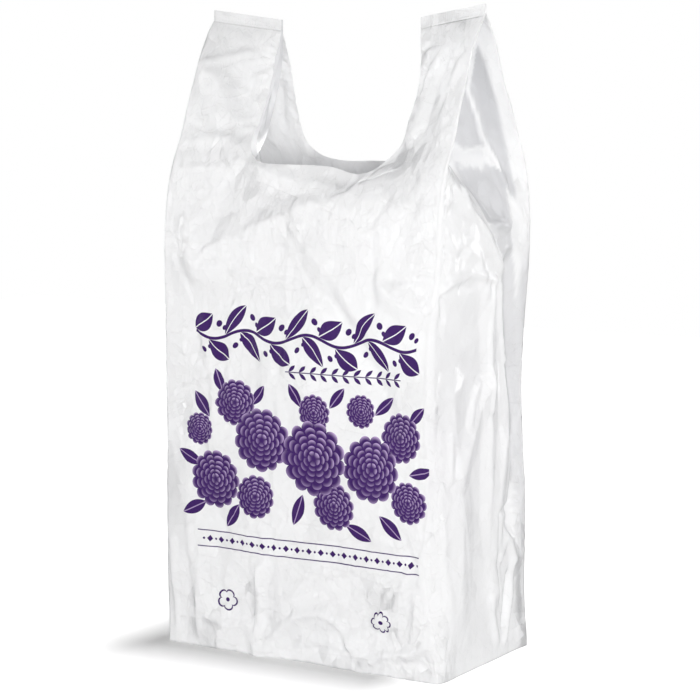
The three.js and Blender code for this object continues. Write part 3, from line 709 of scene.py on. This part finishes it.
# Print, in film millimetres
INK = (0.045, 0.011, 0.12, 1)
LILAC = (0.66, 0.5, 0.8, 1)
FILM_WHITE = (0.9, 0.905, 0.915, 1)
# FILM_SHADED is the colour of painted shade, where the film lies deep in a tuck or inside a strap
FILM_SHADED = (0.63, 0.635, 0.655, 1)
PRINT_Q = (-125, 145)
PRINT_T = (25, 320)
# A flower is (q, t, radius, turn); later ones lie over earlier ones
FLOWERS = [
    (-101, 205, 15, 0.3), (-62, 232, 21, 1.1), (24, 229, 17, 2.0), (72, 234, 15, 0.6),
    (-84, 160, 27, 0.0), (-33, 200, 29, 0.8), (116, 214, 22, 1.7), (122, 158, 19, 0.4),
    (-40, 148, 20, 1.4), (83, 184, 30, 0.5), (42, 147, 22, 2.2), (22, 188, 34, 1.2),
]
# A leaf is (q, t, angle, half length, half width)
LEAVES = [
    (-112, 178, 2.7, 14, 6), (-98, 228, 2.2, 14, 6), (-80, 250, 1.9, 12, 5), (-37, 240, 0.9, 12, 5),
    (4, 243, 2.1, 12, 5), (48, 244, 0.9, 12, 5), (97, 240, 0.7, 13, 5), (134, 234, 0.8, 11, 5),
    (137, 185, 0.2, 12, 5), (102, 134, -0.7, 15, 6), (68, 126, -0.4, 15, 6), (4, 140, -1.9, 15, 6),
    (-66, 128, -2.2, 14, 6), (-108, 132, 3.6, 14, 6),
]
VINE_T = 293
SPRIG_T = 264
LINES_T = 103.5
# The width over which an edge of the ink fades
SHARP = (-0.15, 0.15)
PETAL_RINGS = [(1.0, 13), (0.82, 12), (0.65, 11), (0.49, 9), (0.34, 7), (0.2, 5)]


def add_node(tree, kind, *values):
    """A new shader node, with its first inputs set to values or linked to sockets."""
    node = tree.nodes.new("ShaderNode" + kind)
    for slot, value in zip(node.inputs, values):
        value = getattr(value, "socket", value)
        if isinstance(value, bpy.types.NodeSocket):
            tree.links.new(value, slot)
        else:
            slot.default_value = value
    return node


class Field:
    """A number that varies over the film, worked out by shader nodes."""

    def __init__(self, tree, socket):
        self.tree, self.socket = tree, socket

    def calc(self, operation, *others):
        node = add_node(self.tree, "Math", self, *others)
        node.operation = operation
        return Field(self.tree, node.outputs[0])

    def __add__(self, other):
        return self.calc("ADD", other)

    def __sub__(self, other):
        return self.calc("SUBTRACT", other)

    def __mul__(self, other):
        return self.calc("MULTIPLY", other)

    def under(self, other):
        """other - self"""
        return self.calc("MULTIPLY_ADD", -1, other)

    def fade(self, low, high):
        """0 up to low, 1 from high on, and evenly between."""
        return Field(self.tree, add_node(self.tree, "MapRange", self, low, high).outputs[0])

    def toward(self, other, share):
        """self where share is 0 and other where it is 1"""
        if isinstance(other, Field):
            return (other - self).calc("MULTIPLY_ADD", share, self)
        return self.calc("MULTIPLY_ADD", -1, other).calc("MULTIPLY_ADD", share, self)

    def bigger(self, other):
        return self.calc("MAXIMUM", other)

    def size(self):
        return self.calc("ABSOLUTE")


def split(tree, vector):
    """A vector's three numbers."""
    return [Field(tree, number) for number in add_node(tree, "SeparateXYZ", vector).outputs]


def noise(tree, place, scale, detail):
    node = add_node(tree, "TexNoise", place)
    node.inputs["Scale"].default_value = scale
    node.inputs["Detail"].default_value = detail
    return node.outputs


def most(fields):
    """The biggest of several fields."""
    return functools.reduce(Field.bigger, fields)


def length_of(x, y):
    return (x * x + y * y).calc("SQRT")


def scallop(angle, petals, turn):
    """1 along the middle of each petal, 0 between two petals."""
    return angle.calc("MULTIPLY_ADD", petals / 2, turn).calc("COSINE").size().calc("POWER", 0.55)


def leaf(x, y, angle, half_length, half_width):
    """How far a place lies inside a leaf, and how far from its midrib."""
    along = x * math.cos(angle) + y * math.sin(angle)
    away = (y * math.cos(angle) - x * math.sin(angle)).size()
    bulge = (along * along).calc("MULTIPLY_ADD", -half_width / half_length**2, half_width)
    return bulge - away, away


def repeat(q, first, period):
    """How far a place is right of the nearest of the places that lie a period apart."""
    return (q - first).calc("WRAP", period / 2, -period / 2)


def between(q, low, high):
    """1 where q lies between two places, 0 elsewhere."""
    return q.fade(low, low + 0.4) * q.under(high).fade(0, 0.4)


def vine(q, t):
    """A wavy stem with leaves and berries that repeat along it."""
    period = 34.0
    stem_t = (q * (math.pi / period)).calc("SINE").calc("MULTIPLY_ADD", 4.5, VINE_T)
    stem = (t - stem_t).size().under(1.4).fade(*SHARP)
    parts = [stem * between(q, -106, 132)]
    for shift, angle, lift, low, high in ((6, 0.75, 12, -115, 128), (23, -0.75, -12, -99, 142)):
        inside, away = leaf(repeat(q, shift, period), t - stem_t - lift, angle, 15.5, 7.4)
        parts.append(inside.fade(*SHARP) * away.fade(0.25, 0.55) * between(q, low, high))
    for shift, lift, radius in ((24, 13, 3.0), (29, 8, 2.2), (7, -12, 2.6), (13, -8, 1.9)):
        berry = length_of(repeat(q, shift, period), t - stem_t - lift).under(radius).fade(*SHARP)
        parts.append(berry * between(q, -104, 134))
    return most(parts)


def sprig(q, t):
    """A thin stem with small leaves on both sides."""
    period = 11.0
    stem = (t - SPRIG_T).size().under(0.45).fade(*SHARP)
    for lift, angle in ((3.4, 0.7), (-3.4, -0.7)):
        inside, _ = leaf(repeat(q, 2, period), t - SPRIG_T - lift, angle, 4.6, 1.7)
        stem = stem.bigger(inside.fade(*SHARP))
    return stem * between(q, -5, 116.5)


def ruled_lines(q, t):
    """Two straight lines with a row of diamonds and dots between them."""
    up = t - LINES_T
    lines = (up.size() - 7.5).size().under(0.5).fade(*SHARP)
    diamond = (repeat(q, 3, 12).size() + up.size()).under(3.1).fade(*SHARP)
    dot = length_of(repeat(q, 9, 12), up).under(1.1).fade(*SHARP)
    figures = diamond.bigger(dot) * between(q, -101.4, 131)
    return figures.bigger(lines * between(q, -106, 132))


def small_mark(q, t, at_q, at_t, petals):
    """A tiny flower outline."""
    x, y = q - at_q, t - at_t
    angle = y.calc("ARCTAN2", x)
    edge = scallop(angle, petals, 0.4).calc("MULTIPLY_ADD", 3.2, 6.4)
    ring = (length_of(x, y) - edge).size().under(0.8).fade(*SHARP)
    return ring.bigger(length_of(x, y).under(2.0).fade(*SHARP))


def flowers(q, t):
    """The flowers' cover, and their highlights from 0 to 1."""
    covers, near = [], None
    for at_q, at_t, radius, turn in FLOWERS:
        x, y = q - at_q, t - at_t
        angle = y.calc("ARCTAN2", x)
        edge = scallop(angle, PETAL_RINGS[0][1], turn).calc("MULTIPLY_ADD", 0.16, 0.84) * radius
        covers.append((edge - length_of(x, y)).calc("GREATER_THAN", 0))
        values = (x * (1 / radius), y * (1 / radius), turn)
        if near is None:
            near = (values[0], values[1], q * 0 + turn)
        else:
            near = tuple(old.toward(new, covers[-1]) for old, new in zip(near, values))
    x, y, turn = near
    distance, angle = length_of(x, y), y.calc("ARCTAN2", x)
    light = q * 0
    for k, (ring, petals) in enumerate(PETAL_RINGS):
        inner = PETAL_RINGS[k + 1][0] if k + 1 < len(PETAL_RINGS) else 0.0
        bump = scallop(angle, petals, turn + 1.3 * k)
        edge = bump.calc("MULTIPLY_ADD", 0.16 * ring, 0.84 * ring)
        inward = edge - distance
        rim = inward.under(0).fade(-0.75 * (ring - inner), 0).calc("POWER", 1.8)
        glow = rim * bump.fade(0.3, 1.0)
        light = light.toward(glow, inward.fade(-0.004, 0.004))
    shade = angle.calc("ADD", -0.9).calc("COSINE").calc("MULTIPLY_ADD", 0.28, 0.72)
    return most(covers), light * shade


def leaves(q, t):
    """The leaves' cover, and their midribs."""
    blades, ribs = [], []
    for at_q, at_t, angle, half_length, half_width in LEAVES:
        inside, away = leaf(q - at_q, t - at_t, angle, half_length, half_width)
        blades.append(inside.fade(*SHARP))
        ribs.append(blades[-1] * away.under(0.6).fade(0, 0.3))
    return most(blades), most(ribs)


def print_colour(tree, place):
    """The printed film's colour (bare, ink, and lilac where the ink is thin) and its ink cover."""
    q, t, _ = split(tree, place)
    flower_cover, flower_light = flowers(q, t)
    leaf_cover, leaf_light = leaves(q, t)
    light = (leaf_light * 0.6).toward(flower_light, flower_cover)
    ink = most([flower_cover, leaf_cover, vine(q, t), sprig(q, t), ruled_lines(q, t),
                small_mark(q, t, -76, 48, 5), small_mark(q, t, 89, 48, 8)])
    tone = mixed_colour(tree, light, INK, LILAC)
    return mixed_colour(tree, ink * 0.99, FILM_WHITE, tone), ink


def mixed_colour(tree, share, first, second):
    return add_node(tree, "MixRGB", share, first, second).outputs[0]


# Objects and materials
def add_object(name, data):
    item = bpy.data.objects.new(name, data)
    bpy.context.collection.objects.link(item)
    return item


def new_material(name):
    material = bpy.data.materials.new(name)
    material.use_nodes = True
    material.node_tree.nodes.clear()
    return material, material.node_tree


def weld_height(t, q):
    """The pressed line under each strap's weld, and the fine ribs of the weld itself."""
    groove = (t - WELD_START + 2).size().under(1.1).fade(0, 1.1) * -0.5
    ribs = (q * 2.6).calc("SINE") * t.fade(WELD_START - 1, WELD_START) * 0.06
    return groove + ribs


# Fine crinkles: width, turn and stretch of their cells, then height or slope; in millimetres
POINTED_CELLS = ((17, 0.5, 0.55, 0.8), (8, -0.6, 0.7, 0.3))
LARGE_FACETS = ((47, 0.9, 0.6, 0.2), (23, 0.3, 0.5, 0.3))
SMALL_FACETS = ((11, -0.7, 0.6, 0.24), (5.5, 0.9, 0.8, 0.12))
# Thin lines: width, turn and stretch of their cells, and how closely they are broken
LINE_CELLS = ((31, 0.4, 0.45, 0.05), (14, -0.9, 0.7, 0.09))
LINE_WIDTH = 0.9
LINE_HEIGHT = 0.3
BEND = 15


def cells_of(tree, place, width, angle, stretch):
    """Uneven cells over the film, about width millimetres across and turned by angle."""
    turn = add_node(tree, "Mapping", place)
    turn.inputs["Rotation"].default_value = (0, 0, angle)
    turn.inputs["Scale"].default_value = (1 / width, stretch / width, 1)
    cells = add_node(tree, "TexVoronoi", turn.outputs[0])
    cells.voronoi_dimensions = "2D"
    cells.inputs["Scale"].default_value = 1.0
    return turn.outputs[0], cells


def vector_math(tree, operation, *values):
    node = add_node(tree, "VectorMath", *values)
    node.operation = operation
    return node.outputs


def flat_facets(tree, place, width, angle, stretch, slope):
    """Flat facets with sharp edges, each tilted by chance up to slope, in millimetres."""
    at, cells = cells_of(tree, place, width, angle, stretch)
    away = vector_math(tree, "SUBTRACT", at, cells.outputs["Position"])
    tilt = vector_math(tree, "SUBTRACT", cells.outputs["Color"], (0.5, 0.5, 0.5))
    height = vector_math(tree, "DOT_PRODUCT", away["Vector"], tilt["Vector"])
    return Field(tree, height["Value"]) * (2 * slope * width)


def pointed_cells(tree, place, width, angle, stretch, height):
    """Small pyramids that meet in sharp valleys, in millimetres."""
    _, cells = cells_of(tree, place, width, angle, stretch)
    cells.distance = "MANHATTAN"
    return Field(tree, cells.outputs["Distance"]) * -height


def sharp_lines(tree, place):
    """Thin broken lines where the film was folded sharply, from 0 to 1."""
    lines = []
    for width, angle, stretch, breaks in LINE_CELLS:
        _, cells = cells_of(tree, place, width, angle, stretch)
        cells.feature = "DISTANCE_TO_EDGE"
        line = (Field(tree, cells.outputs["Distance"]) * width).under(LINE_WIDTH).fade(0, LINE_WIDTH)
        lines.append(line * Field(tree, noise(tree, place, breaks, 2)["Fac"]).fade(0.48, 0.6))
    return most(lines)


def crinkle_height(tree, place, amount):
    """Fine crinkles in millimetres, stronger in patches; the smaller ones lie on a bent grid."""
    bend = noise(tree, place, 0.03, 1)["Color"]
    bent = vector_math(tree, "MULTIPLY_ADD", bend, (BEND, BEND, 0), place)["Vector"]
    total = sharp_lines(tree, place) * LINE_HEIGHT
    for cell in POINTED_CELLS:
        total = total + pointed_cells(tree, bent, *cell)
    for cell in LARGE_FACETS:
        total = total + flat_facets(tree, place, *cell)
    for cell in SMALL_FACETS:
        total = total + flat_facets(tree, bent, *cell)
    patchy = Field(tree, noise(tree, place, 0.012, 3)["Fac"]).fade(0.38, 0.62)
    q, t, _ = split(tree, place)
    return total * (patchy * 0.45 + 0.35) * amount + weld_height(t, q)


# Finish of the film
ROUGHNESS = 0.22
SHARE_THROUGH = 0.36
INK_DULLNESS = 0.4


def attribute_vector(tree, name):
    attribute = add_node(tree, "Attribute")
    attribute.attribute_name = name
    return attribute.outputs["Vector"]


def film_material(printed):
    """White film: satin, with a little of the light coming through it, finely crinkled; the plain film
    also has shade painted into its colour in tucks and inside the straps.
    """
    material, tree = new_material("printed film" if printed else "white film")
    place = attribute_vector(tree, "film")
    shade, crinkled, _ = split(tree, attribute_vector(tree, "painted_shade_and_crinkles"))
    shader = add_node(tree, "BsdfPrincipled", FILM_WHITE)
    shader.inputs["Roughness"].default_value = ROUGHNESS
    through = add_node(tree, "BsdfTranslucent", FILM_WHITE)
    blend = add_node(tree, "MixShader", SHARE_THROUGH, shader.outputs[0], through.outputs[0])
    add_node(tree, "OutputMaterial", blend.outputs[0])
    if printed:
        colour, ink = print_colour(tree, place)
        gloss = ink.calc("MULTIPLY_ADD", -INK_DULLNESS, 0.5)
        tree.links.new(gloss.socket, shader.inputs["Specular IOR Level"])
    else:
        # Painted shade: the plain film darkens towards FILM_SHADED by the painted shade kept on the
        # mesh
        colour = mixed_colour(tree, shade, FILM_WHITE, FILM_SHADED)
    bump = add_node(tree, "Bump")
    bump.inputs["Strength"].default_value = 1.0
    bump.inputs["Distance"].default_value = MM
    tree.links.new(crinkle_height(tree, place, crinkled).socket, bump.inputs["Height"])
    tree.links.new(colour, shader.inputs["Base Color"])
    for node in (shader, through):
        tree.links.new(bump.outputs[0], node.inputs["Normal"])
    tree.links.new(colour, through.inputs["Color"])
    return material


def store(mesh, name, first, second):
    """Keeps two numbers for each point of the mesh, for its materials."""
    values = np.stack([first, second, 0 * first], axis=-1)
    mesh.attributes.new(name, "FLOAT_VECTOR", "POINT").data.foreach_set("vector", values.reshape(-1))


def make_bag():
    points, faces, places = build_film()
    low, high = points.min(axis=0), points.max(axis=0)
    centre = np.array([(low[0] + high[0]) / 2, (low[1] + high[1]) / 2, low[2]])
    mesh = bpy.data.meshes.new("film_bag")
    mesh.from_pydata(((points - centre) * MM).tolist(), [], faces.tolist())
    mesh.validate()
    q, t = places[:, 0], places[:, 1]
    crinkled = busy(q, t) * smooth(4, 16, Q_BACK_MIDDLE - np.abs(q))
    store(mesh, "film", q, t)
    # Keeps the painted shade of the tucks and strap insides, and how crinkled the film is
    store(mesh, "painted_shade_and_crinkles", deep_shade(q, t), crinkled)
    mesh.shade_smooth()
    bag = add_object("film_bag", mesh)
    mesh.materials.append(film_material(False))
    mesh.materials.append(film_material(True))
    corner = places[faces[:, 0]]
    in_q = (corner[:, 0] > PRINT_Q[0]) & (corner[:, 0] < PRINT_Q[1])
    in_t = (corner[:, 1] > PRINT_T[0]) & (corner[:, 1] < PRINT_T[1])
    mesh.polygons.foreach_set("material_index", (in_q & in_t).astype(np.int32))
    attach(bag, "root")
    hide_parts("bag")
    return centre


# Stage, in metres
FLOOR_REACH = 2.5
# A patch of floor under the bag and just round it where the floor's white glow is taken away: painted
# shade, in which the bag's real shadow shows too
SHADOW_PATCH_MIDDLE = (-0.03, -0.01)
SHADOW_PATCH_HALF = (0.118, 0.08)
SHADOW_PATCH_EDGE = (0.002, 0.075)
# Light of the world: level with the horizon and overhead, and of the panels that gloss shows
SKY_LEVEL = 0.46
SKY_OVERHEAD = 0.24
PANELS = 11
PANEL_BRIGHT = 4.4
PANEL_GAP = 0.32
# A lamp is its name, place, size and power
LAMP_AIM = (0, 0, 0.2)
LAMP_COLOUR = (1.0, 0.99, 0.975)
LAMPS = [
    ("key", (1.9, -2.7, 0.35), 0.5, 93),
    ("left", (-2.7, -1.6, 0.5), 1.0, 30),
    ("side", (2.8, 1.6, 0.3), 0.6, 38),
]


def make_floor():
    """A floor that the camera sees white, apart from a painted shade patch close to the bag, in which
    the bag's real shadow shows.
    """
    mesh = bpy.data.meshes.new("floor")
    corners = [(x * FLOOR_REACH, y * FLOOR_REACH, 0) for x, y in ((-1, -1), (1, -1), (1, 1), (-1, 1))]
    mesh.from_pydata(corners, [], [(0, 1, 2, 3)])
    floor = add_object("floor", mesh)
    material, tree = new_material("pale floor")
    x, y, _ = split(tree, add_node(tree, "NewGeometry").outputs["Position"])
    beside = ((x - SHADOW_PATCH_MIDDLE[0]).size() - SHADOW_PATCH_HALF[0]).bigger(0)
    before = ((y - SHADOW_PATCH_MIDDLE[1]).size() - SHADOW_PATCH_HALF[1]).bigger(0)
    # Painted shade: the camera's white glow fades out towards the bag, so the floor is darker near it
    glow_beyond_shadow_patch = length_of(beside, before * 0.7).fade(*SHADOW_PATCH_EDGE)
    seen = Field(tree, add_node(tree, "LightPath").outputs["Is Camera Ray"])
    matt = add_node(tree, "BsdfDiffuse", (0.9, 0.9, 0.9, 1))
    glow = add_node(tree, "Emission", (1, 1, 1, 1), glow_beyond_shadow_patch * seen)
    both = add_node(tree, "AddShader", matt.outputs[0], glow.outputs[0])
    add_node(tree, "OutputMaterial", both.outputs[0])
    mesh.materials.append(material)


def make_world():
    """White as the camera sees it, strongest near the horizon as a light, striped in gloss."""
    world = bpy.data.worlds.new("studio")
    world.use_nodes = True
    bpy.context.scene.world = world
    tree = world.node_tree
    tree.nodes.clear()
    x, y, z = split(tree, add_node(tree, "TexCoord").outputs["Generated"])
    soft = z.size().under(1).calc("MULTIPLY_ADD", SKY_LEVEL - SKY_OVERHEAD, SKY_OVERHEAD)
    stripes = (y.calc("ARCTAN2", x) * PANELS).calc("SINE").fade(0.1, 0.5)
    panels = stripes.calc("MULTIPLY_ADD", PANEL_BRIGHT, PANEL_GAP)
    path = add_node(tree, "LightPath").outputs
    strength = soft.toward(panels, Field(tree, path["Is Glossy Ray"]))
    light = add_node(tree, "Background", (1, 1, 1, 1), strength)
    seen = add_node(tree, "Background", (1, 1, 1, 1), 1.0)
    blend = add_node(tree, "MixShader", path["Is Camera Ray"], light.outputs[0], seen.outputs[0])
    add_node(tree, "OutputWorld", blend.outputs[0])


def make_lamp(name, place, size, power):
    """A square lamp that gloss doesn't show."""
    data = bpy.data.lights.new(name, "AREA")
    data.shape = "RECTANGLE"
    data.size, data.size_y = size, size
    data.energy = power
    data.color = LAMP_COLOUR
    lamp = add_object(name, data)
    lamp.location = place
    lamp.visible_glossy = False
    lamp.rotation_euler = aim_at(np.array(place) - np.array(LAMP_AIM))


def aim_at(back):
    """The turn that points an object's own +Z along back."""
    flat = math.hypot(back[0], back[1])
    return (math.atan2(flat, back[2]), 0.0, math.atan2(back[0], -back[1]))


# The photograph's viewpoint, fitted to the bag's corners, folds and print lines
CAMERA_PLACE = (1073.7, -1689.0, 511.9)
CAMERA_YAW = math.radians(32.36)
CAMERA_PITCH = math.radians(6.77)
FOCAL_PIXELS = 2200.0
PHOTO_PIXELS = 700.0
SENSOR = 36.0


def make_camera(centre):
    """A camera at the photograph's viewpoint; centre is the film's own, in millimetres."""
    data = bpy.data.cameras.new("camera")
    camera = add_object("camera", data)
    data.sensor_width = SENSOR
    data.lens = FOCAL_PIXELS / PHOTO_PIXELS * SENSOR
    data.clip_end = 50.0
    camera.location = tuple((np.array(CAMERA_PLACE) - centre) * MM)
    camera.rotation_euler = (math.pi / 2 - CAMERA_PITCH, 0.0, CAMERA_YAW)
    bpy.context.scene.camera = camera


def main():
    scene = bpy.context.scene
    scene.view_settings.view_transform = "Standard"
    make_camera(make_bag())
    make_floor()
    make_world()
    for lamp in LAMPS:
        make_lamp(*lamp)


main()
